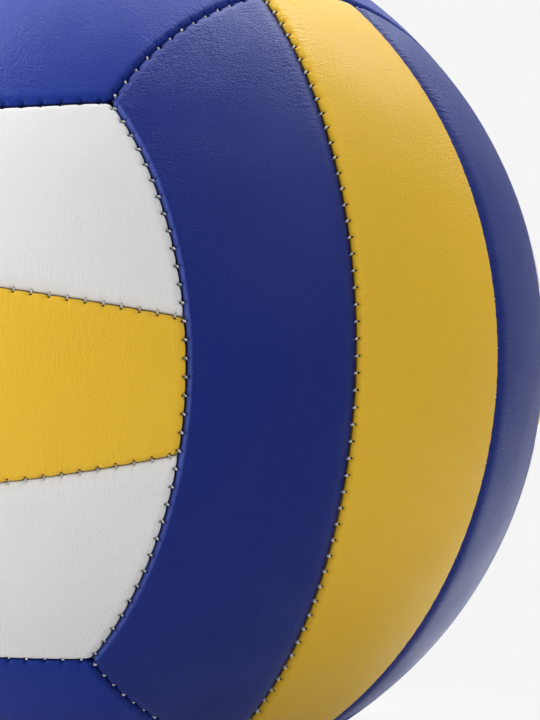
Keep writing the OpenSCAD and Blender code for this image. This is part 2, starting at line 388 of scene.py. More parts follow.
# What sewing does to the skin: sink is how far a point lies below the crown, slide how far it
# moves along the ball, nearest its distance from a seam, and stitch its way along that seam,
# counted in stitches, with how open the holes are and whether the edge is bevelled. Each
# stitch is a peak, exp(k (cos - 1)). Slope and ridge are bell curves, and a bevel is the
# straight ramp r = 1 - near / reach, ended softly as (r + sqrt(r^2 + soft)) / 2. Near a corner
# the slopes of two seams join as the cube root of their summed cubes.
def sewnShape(q, seams, corners):
    sink = np.zeros(q.shape[:-1])
    slopes = np.zeros(q.shape[:-1])
    slide = np.zeros(q.shape)
    nearest = np.full(q.shape[:-1], 99.0)
    stitch = np.zeros(q.shape)
    for s in seams:
        edge = edgeOf(s)
        distance, away, way = measureSeam(q, s)
        near = np.maximum(distance, 0)
        fade = np.clip((s["half"] - np.abs(way)) / sewing["endFade"], 0, 1)
        wave = -np.cos(2 * math.pi * way / s["pitch"])
        peak = np.exp(sewing["narrow"] * (wave - 1)) * fade
        point = np.exp(sewing["holeNarrow"] * (wave - 1)) * fade
        slope = sewing["broadSink"] * np.exp(-near / sewing["broadReach"])
        bell = np.exp(-(near / edge["reach"]) ** 2)
        ramp = 1 - near / edge["reach"]
        ramp = (ramp + np.sqrt(ramp ** 2 + sewing["bevelSoft"])) / 2
        slope += edge["slope"] * (bell + edge["bevel"] * (ramp - bell))
        slopes += slope ** 3
        sink += sewing["pucker"] * peak * np.exp(-near / sewing["puckerReach"])
        well = sewing["holeDepth"] * edge["holes"] * point
        sink += well * np.exp(-((near - sewing["holePlace"]) / sewing["holeWidth"]) ** 2)
        ridge = edge["ridge"] * fade
        sink -= ridge * np.exp(-((near - sewing["ridgePlace"]) / sewing["ridgeReach"]) ** 2)
        move = (edge["pull"] + edge["close"]) * peak - edge["close"] * fade
        slide += away * (move * np.exp(-near / sewing["pullReach"]))[..., None]
        phase = (np.minimum(np.abs(way), s["half"] - sewing["markStop"]) - s["half"]) / s["pitch"]
        place = np.stack([phase, 0 * phase + edge["holes"], 0 * phase + edge["bevel"]], axis=-1)
        stitch = np.where((near < nearest)[..., None], place, stitch)
        nearest = np.minimum(nearest, near)
    sink += np.cbrt(slopes)
    for c in corners:
        gap = np.linalg.norm(q - c, axis=-1) * radius
        sink += sewing["cornerSink"] * np.exp(-(gap / sewing["cornerReach"]) ** 2)
    return sink, slide, nearest, stitch


# Rounds a strip's corners in plan: a point at u from the corner along one side goes to the
# angle 45 (1 - u / r) of an arc of radius r, which is smaller beside a middle strip's seam.
def roundCorners(q, seams, inset, onEnd):
    low, high, end = seams
    lowGap, lowAway, _ = measureSeam(q, low)
    highGap, highAway, _ = measureSeam(q, high)
    endGap, endAway, _ = measureSeam(q, end)
    lowNearer = (lowGap < highGap)[..., None]
    sideGap = np.minimum(lowGap, highGap)
    sideAway = np.where(lowNearer, lowAway, highAway)
    own = np.where(onEnd[..., None], endAway, sideAway)
    other = np.where(onEnd[..., None], sideAway, endAway)
    u = np.maximum(np.where(onEnd, sideGap, endGap) - inset, 0)
    highRadius = strip["cornerRadius"] if high is sideSeam else strip["teeRadius"]
    r = np.maximum(np.where(lowGap < highGap, strip["teeRadius"], highRadius) - inset, 0.05)
    angle = math.pi / 4 * np.clip(1 - u / r, 0, 1)
    ownShift = r * (1 - np.cos(angle))
    otherShift = np.where(u < r, r * (1 - np.sin(angle)) - u, 0)
    return own * ownShift[..., None] + other * otherShift[..., None]


strip = {
    "wall": 0.13,         # half of the gap between two sewn edges, in mm
    "threadWall": 0.26,   # the same lower down, where the running cord lies
    "depth": 3.3,         # how far an edge is turned in
    "wallRows": (2.2, 1.6),                 # depths of the rows up its wall
    "roll": 0.55,                           # radius of the rolled edge
    "rollRows": (90, 72, 54, 37, 20, 5),    # rows over it, in degrees
    "rimRows": (0.95, 1.2, 1.5, 1.9, 2.5, 3.5, 5.2),  # insets of the fine rows on the crown
    "crownInset": 8.0,    # where the coarse crown starts
    "still": 1.7,         # the wall's lowest stretch, where sewing fades out
    "thickness": 1.3,
    "edge": 1.45,         # inner face of the turned-in edge, from the seam's middle
    "fold": 0.2,          # height of the bend behind it, and the bend's other end
    "foldInset": 2.4,
    "underInset": 3.6,    # where the coarse underside starts
    "cornerRadius": 1.4,  # where three faces meet
    "teeRadius": 0.7,     # where a strip's seam runs into a face's
    "ratio": 8,           # fine points to one coarse one
    "along": 80,          # coarse cells along a strip
    "acrossOuter": 20,
    "acrossMiddle": 12,
    "valveHole": 3.8,
    "blockReach": (5, 3), # cells left out round the valve
    # rings from the crown into the valve's hole: share, drop and mark
    "holeRings": ((0.7, 0, 1), (0.4, 0, 1), (0.16, 0.02, 1), (0.05, 0.12, 0.08),
                  (0, 0.34, 0.03), (0, 0.9, 0)),
}


# Insets and depths of the loops from the foot of an edge, over its quarter-round, to the crown
def edgeRows():
    turns = np.radians(strip["rollRows"])
    inset = strip["wall"] + strip["roll"] * (1 - np.sin(turns))
    depth = strip["roll"] * (1 - np.cos(turns))
    walls = [strip["threadWall"], strip["threadWall"], strip["wall"]]
    inset = np.concatenate([walls, inset, strip["rimRows"]])
    depth = np.concatenate([[strip["depth"], *strip["wallRows"]], depth, np.zeros(len(strip["rimRows"]))])
    return inset, depth


# A strip's seams, and its coarse cells along and across. The middle strip is on side 0.
def layout(shape, side):
    if side == 0:
        return middleSeams, shape["along"], shape["acrossMiddle"]
    return outerSeams, shape["along"], shape["acrossOuter"]


# A grid over what lies further in than the given inset
def insideGrid(seams, inset, along, across):
    return fillLoop(rimLoops(seams, [inset], along, across)[0], along, across)


# A strip's skin: loops up its wall and over the rolled edge, the crown inside them, and the
# underside, closed all round. The valve's strip has a round hole through crown and underside.
def makeSkin(name, face, side, holed):
    seams, along, across = layout(strip, side)
    corners = rimLoops(seams, [0.0], 1, 1)[0]
    ratio = strip["ratio"]
    thick = strip["thickness"]
    shell = newShell()

    inset, depth = edgeRows()
    q = rimLoops(seams, inset, along * ratio, across * ratio)
    place = np.arange(q.shape[1])
    firstEnd = (place >= along * ratio) & (place < (along + across) * ratio)
    onEnd = np.broadcast_to(firstEnd | (place >= (2 * along + across) * ratio), q.shape[:2])
    inset = np.broadcast_to(inset[:, None], q.shape[:2])
    q = unit(q + roundCorners(q, seams, inset, onEnd) / radius)
    sink, slide, near, stitch = sewnShape(q, seams, corners)
    lower = np.clip((strip["depth"] - depth) / strip["still"], 0, 1)[:, None]
    q = unit(q + slide * lower[..., None] / radius)
    height = radius - depth[:, None] - sink * lower
    rims = addPoints(shell, q * height[..., None], np.clip(near / 10, 0, 1), stitch)
    joinRows(shell, rims)

    crown = insideGrid(seams, strip["crownInset"], along, across)
    sink, _, near, _ = sewnShape(crown, seams, corners)
    crown = addPoints(shell, crown * (radius - sink)[..., None], np.clip(near / 10, 0, 1))
    joinFinerLoop(shell, rims[-1], gridBorder(crown))

    footInset = np.array([strip["edge"], strip["edge"], strip["foldInset"]])
    footDepth = np.array([strip["depth"], thick + strip["fold"], thick])
    foot = rimLoops(seams, footInset, along, across) * (radius - footDepth)[:, None, None]
    foot = addPoints(shell, foot)
    joinFinerLoop(shell, rims[0], foot[0], inside=False)
    under = insideGrid(seams, strip["underInset"], along, across)
    under = addPoints(shell, under * (radius - thick))
    joinRows(shell, [gridBorder(under), *foot[::-1]])
    rings = (*strip["holeRings"], (0, thick, 0), (0.5, thick, 0))
    closeGrids(shell, crown, under, strip["blockReach"] if holed else None, rings)
    return finishShell(shell, name, face, mirror=side < 0)


pad = {
    "top": 1.4,           # below the crown, in mm
    "bottom": 3.3,
    "wall": 1.55,         # from the seam's middle
    "round": 0.5,         # radius of its cut edges
    "roundRows": (90, 60, 30, 0),
    "gridInset": 4.0,     # where the coarse grid starts
    "along": 52,
    "acrossOuter": 15,
    "acrossMiddle": 10,
    "blockReach": (3, 2),
    "bayRadius": 18.7,    # shallow round bay behind the valve's strip, for the patch
    "bayDepth": 0.42,
}


# A strip's foam: a closed shell between two spheres, its edges rounded by an arc. The valve's
# strip has a hole, and a shallow round bay behind it for the patch.
def makePad(name, face, side, holed):
    seams, along, across = layout(pad, side)
    shell = newShell()
    turns = np.radians(pad["roundRows"])
    roundInset = pad["wall"] + pad["round"] * (1 - np.sin(turns))
    topDepth = pad["top"] + pad["round"] * (1 - np.cos(turns))
    inset = np.concatenate([roundInset[::-1], roundInset])
    depth = np.concatenate([(pad["top"] + pad["bottom"] - topDepth)[::-1], topDepth])
    rims = addPoints(shell, rimLoops(seams, inset, along, across) * (radius - depth)[:, None, None])
    grid = insideGrid(seams, pad["gridInset"], along, across)
    crown = addPoints(shell, grid * (radius - pad["top"]))
    fromAxis = np.hypot(grid[..., 0], grid[..., 1]) * radius
    bay = pad["bayDepth"] * (fromAxis < pad["bayRadius"]) * holed
    under = addPoints(shell, grid * (radius - pad["bottom"] + bay)[..., None])
    joinRows(shell, [gridBorder(under), *rims, gridBorder(crown)])
    bayTop = pad["bottom"] - pad["bayDepth"]
    rings = ((0.5, pad["top"], 0), (0, pad["top"], 0), (0, bayTop, 0), (0.5, bayTop, 0))
    closeGrids(shell, crown, under, pad["blockReach"] if holed else None, rings)
    return finishShell(shell, name, face, mirror=side < 0)


print("shapes ready")

skinSlots = {"front": "white_skin", "back": "white_skin"}
skins = {"white_skin": [], "yellow_skin": [], "blue_skin": []}
pads = []
for face in faceAxes:
    for side, place in zip((1, 0, -1), stripNames[face]):
        part = f"{face}_{place}"
        holed = part == "back_middle"
        slot = "yellow_skin" if side == 0 else skinSlots.get(face, "blue_skin")
        piece = makeSkin(f"{part}_strip", face, side, holed)
        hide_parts(f"{part}_skin")
        skins[slot].append(piece)
        piece = makePad(f"{part}_foam", face, side, holed)
        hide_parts(f"{part}_pad")
        pads.append(piece)
print("strips and foam ready")

thread = {
    "depth": 2.75,        # of the running cord's middle below the crown, in mm
    "cordRadius": 0.2,
    "cordStop": 1.4,      # it stops this short of a seam's end
    "bitRadius": 0.22,    # a stitch where it crosses the seam
    "bitTop": 1.12,       # how far below the crown its middle lies
    "stripTop": 1.02,     # the same in a strip seam
    "bitFoot": 1.9,
    "faceReach": 0.26,    # half of a stitch's way across a face seam, and across a strip seam
    "stripReach": 0.22,
    "faceLean": 0.9,      # how far along the seam it leans, for each mm across
    "stripLean": 0.7,
    "uneven": 0.15,       # how much the stitches differ in depth
    "sides": 6,
    "rings": 6,
    # the white skins' own strip seams and the settled seam are pulled tighter, by so many mm
    "tighter": {"front": 0.6, "top_front": 0.85},
}


# A tube along each path: rings of points round it in the plane of two given directions, with
# a flat end. Paths and directions are (tubes, rings, 3).
def addTubes(shell, path, sideways, upwards, tubeRadius):
    sides = thread["sides"]
    turn = np.linspace(0, 2 * math.pi, sides, endpoint=False)[:, None]
    spoke = np.cos(turn) * sideways[:, :, None] + np.sin(turn) * upwards[:, :, None]
    rings = path[:, :, None] + tubeRadius * spoke
    way = np.arange(path.shape[1])[None, :, None] * np.ones(rings.shape[:3])
    index = addPoints(shell, rings, way)
    a, b = index[:, :-1], index[:, 1:]
    quads = np.stack([a, np.roll(a, -1, axis=2), np.roll(b, -1, axis=2), b], axis=-1)
    shell["quads"].append(quads.reshape(-1, 4))
    fan = np.arange(1, sides - 1)
    for cap, forward in ((index[:, 0], False), (index[:, -1], True)):
        first = np.repeat(cap[:, :1], sides - 2, axis=1)
        three = np.stack([first, cap[:, fan], cap[:, fan + 1]], axis=-1).reshape(-1, 3)
        shell["triangles"].append(three if forward else three[:, ::-1])


# A seam's middle at the angles w along it, and the directions along and across it there
def seamLine(s, w):
    centre = besideSeam(s, 0 * w, w)
    along = unit(np.cos(w)[:, None] * s["along"] - np.sin(w)[:, None] * s["start"])
    away = unit(s["axis"] - centre * (centre @ s["axis"])[:, None])
    return centre, along, away


# A seam's thread: a running cord down between the walls, and a short arched tube across the
# seam at each stitch, which leans along it and dives into the skins at both ends. For v from
# -1 to 1 it goes |v|^0.8 of half across and |v|^3 of the way down to its foot. Depths vary from
# stitch to stitch n as sin(2.4 n^1.3).
def addSeamThread(shell, s, lean, half, top):
    count = s["stitches"]
    reach = s["half"] / (radius * math.sin(s["turn"]))
    centre, along, away = seamLine(s, reach * (2 * (np.arange(count) + 0.5) / count - 1))
    v = np.linspace(-1, 1, thread["rings"])[None, :, None]
    across = np.sign(v) * np.abs(v) ** 0.8 * half
    drop = top + (thread["bitFoot"] - top) * np.abs(v) ** 3.0
    drop = drop + (thread["uneven"] * np.sin(2.4 * np.arange(count) ** 1.3))[:, None, None]
    path = centre[:, None] * (radius - drop) + away[:, None] * across + along[:, None] * v * lean * half
    forward = unit(np.gradient(path, axis=1))
    sideways = unit(np.cross(np.broadcast_to(centre[:, None], path.shape), forward))
    addTubes(shell, path, sideways, np.cross(forward, sideways), thread["bitRadius"])

    turns = (reach - thread["cordStop"] / radius) * np.linspace(-1, 1, 2 * count + 1)
    centre, along, away = seamLine(s, turns)
    path = centre * (radius - thread["depth"])
    addTubes(shell, path[None], away[None], np.cross(along, away)[None], thread["cordRadius"])


threads = []
for face in faceAxes:
    shell = newShell()
    top = thread["stripTop"] + thread["tighter"].get(face, 0)
    addSeamThread(shell, highSeam, thread["stripLean"], thread["stripReach"], top)
    addSeamThread(shell, lowSeam, -thread["stripLean"], thread["stripReach"], top)
    piece = finishShell(shell, f"{face}_strip_sewing", face, markName="way")
    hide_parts(f"{face}_strip_threads")
    threads.append(piece)
    for s, neighbour in zip((endSeam, farEndSeam), endNames[face]):
        shell = newShell()
        lean = thread["faceLean"] if s is endSeam else -thread["faceLean"]
        top = thread["bitTop"] + thread["tighter"].get(f"{face}_{neighbour}", 0)
        addSeamThread(shell, s, lean, thread["faceReach"], top)
        piece = finishShell(shell, f"{face}_{neighbour}_sewing", face, markName="way")
        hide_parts(f"{face}_{neighbour}_seam_thread")
        threads.append(piece)
print("threads ready", len(threads))

# sizes in mm; heights are from the ball's centre
valve = {
    "noseRadius": 3.5,
    "noseTop": 104.5,
    "noseRound": 0.55,
    "noseSide": (103.0, 101.6),   # heights down the nose's straight side
    "dish": ((1.9, 0.22), (2.3, 0.2)),  # the hollow top: radius and depth
    "needleRadius": 1.1,
    "needleRound": 0.45,
    "plugRadius": 3.05,
    "plugLow": 93.45,
    "plugHigh": 99.55,
    "flangeRadius": 14.0,
    "flangeTop": 100.55,
    "flangeLow": 99.55,
    "rimRound": 0.42,
    "neckRound": 0.6,
    "housingRadius": 6.0,
    "shoulderRound": 0.5,
    "housingBend": 94.9,
    "housingEnd": 90.55,
    "housingEndRadius": 5.37,
    "endRound": 0.6,
    "sides": 64,
}


def arcPoints(centre, r, first, last, count):
    turn = np.radians(np.linspace(first, last, count))
    return np.stack([centre[0] + r * np.cos(turn), centre[1] + r * np.sin(turn)], axis=1)


# A closed outline of radius and height turned about the axis out of the back face
def revolve(name, outline, sides):
    shell = newShell()
    turn = np.linspace(0, 2 * math.pi, sides, endpoint=False)
    r, z = outline[:, :1], outline[:, 1:]
    points = np.stack([r * np.cos(turn), r * np.sin(turn), z + 0 * turn], axis=-1)
    index = addPoints(shell, points, np.linspace(0, 1, len(outline))[:, None])
    after = np.roll(index, -1, axis=0)
    quads = np.stack([index, np.roll(index, -1, axis=1), np.roll(after, -1, axis=1), after], axis=-1)
    shell["quads"].append(quads.reshape(-1, 4))
    return finishShell(shell, name, "back", markName="outline")


# Outline points at the given radii on a sphere
def onSphere(radii, size):
    return np.stack([radii, np.sqrt(size ** 2 - radii ** 2)], axis=1)


# The moulding's outline: up the needle's bore, over the nose, down to the flange that follows
# the bladder, round its rim, and down the tapered housing
def makeValve():
    v = valve
    top, needle, nose, end = v["noseTop"], v["needleRadius"], v["noseRadius"], v["housingEnd"]
    rim, neck, shoulder = v["rimRound"], v["neckRound"], v["shoulderRound"]
    rimStart = v["flangeRadius"] - 0.4
    upper = onSphere(np.linspace(nose + neck, rimStart, 9), v["flangeTop"])
    lower = onSphere(np.linspace(rimStart, v["housingRadius"] + shoulder, 6), v["flangeLow"])
    rimHeight = (upper[-1, 1] + lower[0, 1]) / 2
    seat = math.sqrt(v["flangeTop"] ** 2 - (nose + 0.5) ** 2)
    outline = np.concatenate([
        [[needle, end + 0.3], [needle, v["plugLow"]]],
        [[v["plugRadius"], v["plugLow"]], [v["plugRadius"], v["plugHigh"]], [needle, v["plugHigh"]]],
        arcPoints((needle + v["needleRound"], top - 0.6), v["needleRound"], 180, 90, 5),
        [[r, top - drop] for r, drop in v["dish"]],
        arcPoints((nose - v["noseRound"], top - v["noseRound"]), v["noseRound"], 100, 0, 7),
        [[nose, height] for height in v["noseSide"]],
        arcPoints((nose + neck, seat + neck), neck, 180, 255, 4),
        upper,
        arcPoints((v["flangeRadius"] - rim, rimHeight), rim, 65, -65, 6),
        lower,
        arcPoints((v["housingRadius"] + shoulder, lower[-1, 1] - 0.55), shoulder, 90, 180, 4),
        [[(v["housingRadius"] + v["housingEndRadius"]) / 2, v["housingBend"]]],
        arcPoints((v["housingEndRadius"] - v["endRound"], end + v["endRound"]), v["endRound"], 0, -90, 5),
        [[needle + 0.4, end]],
    ])
    return revolve("valve_moulding", outline, v["sides"])


valvePiece = makeValve()
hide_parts("valve_body")

patch = {"radius": 18.0, "hole": 3.8, "low": 101.74, "high": 102.04, "rings": 10, "sides": 72}


# A thin disc with a hole, its two faces on spheres
def makePatch():
    radii = np.linspace(patch["hole"], patch["radius"], patch["rings"])
    outline = np.concatenate([onSphere(radii, patch["high"]), onSphere(radii[::-1], patch["low"])])
    return revolve("valve_patch_cloth", outline, patch["sides"])


patchPiece = makePatch()
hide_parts("valve_patch")
print("valve ready")


def addNode(tree, kind, **settings):
    node = tree.nodes.new(kind)
    for key, value in settings.items():
        setattr(node, key, value)
    return node


# Gives sockets, by name or place, a number, a vector, a colour, or another socket's value
def feed(tree, sockets, values):
    for key, value in values.items():
        socket = sockets[key]
        if isinstance(value, bpy.types.NodeSocket):
            tree.links.new(value, socket)
        else:
            socket.default_value = (*value, 1) if socket.type == "RGBA" else value


def calculate(tree, operation, *inputs, clamp=False):
    node = addNode(tree, "ShaderNodeMath", operation=operation, use_clamp=clamp)
    feed(tree, node.inputs, dict(enumerate(inputs)))
    return node.outputs[0]


def plus(tree, first, *others):
    for other in others:
        first = calculate(tree, "ADD", first, other)
    return first


def times(tree, first, *others):
    for other in others:
        first = calculate(tree, "MULTIPLY", first, other)
    return first


def vectorMaths(tree, operation, *inputs, output="Vector"):
    node = addNode(tree, "ShaderNodeVectorMath", operation=operation)
    feed(tree, node.inputs, dict(enumerate(inputs)))
    return node.outputs[output]


def noise(tree, coords, scale, detail=2.0, rough=0.5, distortion=0.0, output="Fac"):
    node = addNode(tree, "ShaderNodeTexNoise")
    feed(tree, node.inputs, {"Vector": coords, "Scale": scale, "Detail": detail, "Roughness": rough,
                             "Distortion": distortion})
    return node.outputs[output]


def cells(tree, coords, scale, feature="DISTANCE_TO_EDGE"):
    node = addNode(tree, "ShaderNodeTexVoronoi", feature=feature)
    feed(tree, node.inputs, {"Vector": coords, "Scale": scale})
    return node.outputs["Distance"]


# A smooth step from toLow to toHigh while the value goes from low to high
def spread(tree, value, low, high, toLow, toHigh):
    node = addNode(tree, "ShaderNodeMapRange", interpolation_type="SMOOTHSTEP")
    feed(tree, node.inputs, dict(enumerate((value, low, high, toLow, toHigh))))
    return node.outputs[0]


def attribute(tree, name, output="Fac"):
    return addNode(tree, "ShaderNodeAttribute", attribute_name=name).outputs[output]


def ownCoords(tree):
    return addNode(tree, "ShaderNodeTexCoord").outputs["Object"]


# Phase, hole openness and bevel mark of the nearest stitch, as X, Y and Z
def stitchParts(tree):
    node = addNode(tree, "ShaderNodeSeparateXYZ")
    feed(tree, node.inputs, {0: attribute(tree, "stitchPlace", "Vector")})
    return node.outputs


# A node group of number sockets, its inputs given with their usual values
def newGroup(name, inputs, outputs):
    tree = bpy.data.node_groups.new(name, "ShaderNodeTree")
    for label, value in inputs.items():
        socket = tree.interface.new_socket(name=label, in_out="INPUT", socket_type="NodeSocketFloat")
        socket.default_value = value
    for label in outputs:
        tree.interface.new_socket(name=label, in_out="OUTPUT", socket_type="NodeSocketFloat")
    return tree, addNode(tree, "NodeGroupInput").outputs, addNode(tree, "NodeGroupOutput").inputs


def useGroup(tree, group, values):
    node = addNode(tree, "ShaderNodeGroup", node_tree=group)
    feed(tree, node.inputs, values)
    return node.outputs


noiseRange = (0.3, 0.7)   # most of a noise's values lie between these

# scales are in cells or waves to a metre
leather = {
    "cellScale": 2100,
    "wrinkleScale": 2000,
    "foldScale": 1600,
    "patchScale": 48,     # where the grain is stronger or weaker
    "dentScale": 70,
    "creaseScale": 58,
    "creasePlaceScale": 34,
    "glossScale": 55,
    "bendScale": 90,      # how a crease strays, and how far in m
    "bend": 0.012,
    "drawn": (1.0, 0.42, 0.8),          # grain and folds are drawn out across the strip
    "foldsDrawn": (1.0, 0.13, 0.7),
    "furrowShare": 0.35,
    "wrinkleShare": 0.8,
    "toneShare": 0.7,
    "creaseWidth": 0.035,
}


# Grain of coated leather: small cells drawn out across the strip with fine furrows between
# them, finer wrinkles, folds across the strip beside its seams, soft dents in the padding, and
# a few faint creases where the skin has been bent. Height is in mm.
def buildGrain():
    tree, source, target = newGroup(
        "leatherGrain", {"Grain depth": 0.03, "Crease depth": 0.04, "Dent depth": 0.1},
        ("Height", "Tone", "Gloss"))
    coords = attribute(tree, "stripPlace", "Vector")
    drawn = vectorMaths(tree, "MULTIPLY", coords, leather["drawn"])
    furrow = spread(tree, cells(tree, drawn, leather["cellScale"]), 0.0, 0.3, 0, 1)
    wrinkle = noise(tree, drawn, leather["wrinkleScale"], 2, 0.6, 0.5)
    foldCoords = vectorMaths(tree, "MULTIPLY", coords, leather["foldsDrawn"])
    folds = noise(tree, foldCoords, leather["foldScale"], 1, 0.5, 0.2)
    folds = times(tree, folds, spread(tree, attribute(tree, "seamGap"), 0.1, 0.9, 1.4, 0.4))
    patches = spread(tree, noise(tree, coords, leather["patchScale"]), 0.35, 0.65, 0.55, 1.3)
    grain = plus(tree, times(tree, furrow, leather["furrowShare"]),
                 times(tree, wrinkle, leather["wrinkleShare"]), folds)
    dents = noise(tree, coords, leather["dentScale"], 1, 0.4)
    shift = noise(tree, coords, leather["bendScale"], output="Color")
    bent = vectorMaths(tree, "MULTIPLY_ADD", shift, (leather["bend"],) * 3, coords)
    line = spread(tree, cells(tree, bent, leather["creaseScale"]), 0.0, leather["creaseWidth"], 1, 0)
    where = spread(tree, noise(tree, coords, leather["creasePlaceScale"]), 0.52, 0.66, 0, 1)
    high = plus(tree, times(tree, grain, patches, source["Grain depth"]),
                times(tree, dents, source["Dent depth"]))
    high = calculate(tree, "SUBTRACT", high, times(tree, line, where, source["Crease depth"]))
    gloss = noise(tree, coords, leather["glossScale"], 3, 0.55)
    feed(tree, target, {"Height": high, "Tone": times(tree, grain, leather["toneShare"]), "Gloss": gloss})
    return tree


# A mask strongest beside the seams, as the square of the nearness, broken up by noise, and thin
# elsewhere. It darkens the white and yellow skins there, and lightens the blue as a painted highlight
def buildNearSeamTone():
    tree, source, target = newGroup("seamWear", {"Reach": 0.2}, ("Mask", "Patch"))
    coords = ownCoords(tree)
    share = calculate(tree, "DIVIDE", attribute(tree, "seamGap"), source["Reach"])
    near = calculate(tree, "SUBTRACT", 1.0, share, clamp=True)
    broken = plus(tree, 0.55, times(tree, noise(tree, coords, 260, 4, 0.6), 0.8))
    mask = calculate(tree, "MULTIPLY", calculate(tree, "POWER", near, 2.0), broken, clamp=True)
    feed(tree, target, {"Mask": mask, "Patch": noise(tree, coords, 22, 3)})
    return tree


meanPitch = 3.87          # of the stitches of both kinds of seam, in mm


# Painted shade inside the needle holes: a dark round spot on each stitch's foot, from the way along
# the seam in stitches and the distance from it in cm. It is soft at its rim.
def buildHoleShade():
    tree, source, target = newGroup("needleHoles", {"Size": 0.3}, ("Mask",))
    place = stitchParts(tree)
    turn = calculate(tree, "SUBTRACT", calculate(tree, "FRACT", place["X"]), 0.5)
    alongGap = times(tree, turn, meanPitch)
    gapMm = times(tree, attribute(tree, "seamGap"), 10.0)
    acrossGap = calculate(tree, "SUBTRACT", gapMm, sewing["holePlace"])
    square = plus(tree, times(tree, alongGap, alongGap), times(tree, acrossGap, acrossGap))
    share = calculate(tree, "DIVIDE", calculate(tree, "SQRT", square), source["Size"])
    mask = calculate(tree, "MULTIPLY", spread(tree, share, 0.7, 1.15, 1, 0), place["Y"], clamp=True)
    feed(tree, target, {"Mask": mask})
    return tree


grainGroup = buildGrain()
nearSeamGroup = buildNearSeamTone()
holeShadeGroup = buildHoleShade()


def newMaterial(name):
    material = bpy.data.materials.new(name)
    material.use_nodes = True
    tree = material.node_tree
    tree.nodes.clear()
    shader = addNode(tree, "ShaderNodeBsdfPrincipled")
    feed(tree, addNode(tree, "ShaderNodeOutputMaterial").inputs, {"Surface": shader.outputs[0]})
    return material, tree, shader


def mixColours(tree, factor, first, second):
    node = addNode(tree, "ShaderNodeMix", data_type="RGBA")
    feed(tree, node.inputs, {0: factor, 6: first, 7: second})
    return node.outputs[2]


# Gives a shader its colour, roughness and other inputs, and a height in mm as its normal
def dress(tree, shader, height, values):
    bump = addNode(tree, "ShaderNodeBump")
    feed(tree, bump.inputs, {"Strength": 1.0, "Distance": 0.001, "Height": height})
    feed(tree, shader.inputs, {"Normal": bump.outputs["Normal"], **values})
    return bump.outputs["Normal"]


glossStep = 0.05          # how far roughness strays to both sides
edgeHighlightGap = (0.06, 0.13) # distance from the seam over which the painted edge highlight fades, in cm
seamShadeGap = (0.011, 0.019)
seamShadeDark = 0.75         # how dark the painted shade down in the seam is, over the wall and the start of the rolled edge


def makeSkinMaterial(name, look):
    material, tree, shader = newMaterial(name)
    grain = useGroup(tree, grainGroup, {"Grain depth": look["grain"], "Crease depth": look["crease"],
                                        "Dent depth": look["dent"]})
    nearSeam = useGroup(tree, nearSeamGroup, {"Reach": look["nearSeamReach"]})
    hole = useGroup(tree, holeShadeGroup, {"Size": look["holeSize"]})
    gap = attribute(tree, "seamGap")
    colour = mixColours(tree, nearSeam["Patch"], look["deep"], look["light"])
    colour = mixColours(tree, times(tree, grain["Tone"], look["speckle"]), colour, look["light"])
    # darker beside the seams on the white and yellow skins, and lighter on the blue as a painted
    # highlight
    colour = mixColours(tree, times(tree, nearSeam["Mask"], look["nearSeam"]), colour, look["nearSeamColour"])
    if look["edgeHighlight"]:   # painted highlight: a lighter blue band on a bevelled edge beside the seam, standing in for light caught by its slope
        bevel = times(tree, spread(tree, gap, *edgeHighlightGap, look["edgeHighlight"], 0), stitchParts(tree)["Z"])
        colour = mixColours(tree, bevel, colour, look["edgeHighlightColour"])
    # painted shade: the needle holes and the bottom of the seam are darkened towards black
    dark = calculate(tree, "MAXIMUM", hole["Mask"], spread(tree, gap, *seamShadeGap, seamShadeDark, 0))
    low, high = look["rough"] - glossStep, look["rough"] + glossStep
    normal = dress(tree, shader, grain["Height"], {
        "Base Color": mixColours(tree, dark, colour, look["holeShade"]),
        "Roughness": spread(tree, grain["Gloss"], *noiseRange, low, high),
        "Specular IOR Level": look["specular"], "Specular Tint": look["tint"],
        "Coat Weight": look["coat"], "Coat Roughness": 0.4,
    })
    feed(tree, shader.inputs, {"Coat Normal": normal})
    return material


# depths are in mm, the reach beside the seams in cm and holeSize in mm
plainLook = {
    "nearSeam": 0.3, "nearSeamReach": 0.12, "speckle": 0.3, "rough": 0.49, "crease": 0.02, "dent": 0.15,
    "tint": (1, 1, 1), "coat": 0.0, "holeSize": 0.3, "edgeHighlight": 0.0,
}
skinLooks = {
    "white_skin": {
        "deep": (0.74, 0.74, 0.74), "light": (0.8, 0.8, 0.8), "nearSeamColour": (0.64, 0.63, 0.62),
        "specular": 0.24, "grain": 0.075, "holeShade": (0.01, 0.01, 0.01),
    },
    "yellow_skin": {
        "deep": (0.80, 0.48, 0.025), "light": (0.86, 0.525, 0.033), "nearSeamColour": (0.6, 0.34, 0.02),
        "specular": 0.25, "grain": 0.09, "holeSize": 0.28, "holeShade": (0.01, 0.006, 0.002),
    },
    "blue_skin": {
        "deep": (0.0025, 0.009, 0.135), "light": (0.0035, 0.0118, 0.158),
        # the colour beside the seams is lighter than the blue itself: painted highlight along the edges
        "nearSeamColour": (0.015, 0.025, 0.19), "rough": 0.64, "specular": 0.86, "tint": (0.14, 0.27, 0.95),
        "coat": 0.2, "grain": 0.115, "holeShade": (0.001, 0.001, 0.006),
        # the last colour is a painted highlight for the bevelled edges beside the seams
        "edgeHighlight": 1.0, "edgeHighlightColour": (0.05, 0.075, 0.32),
    },
}
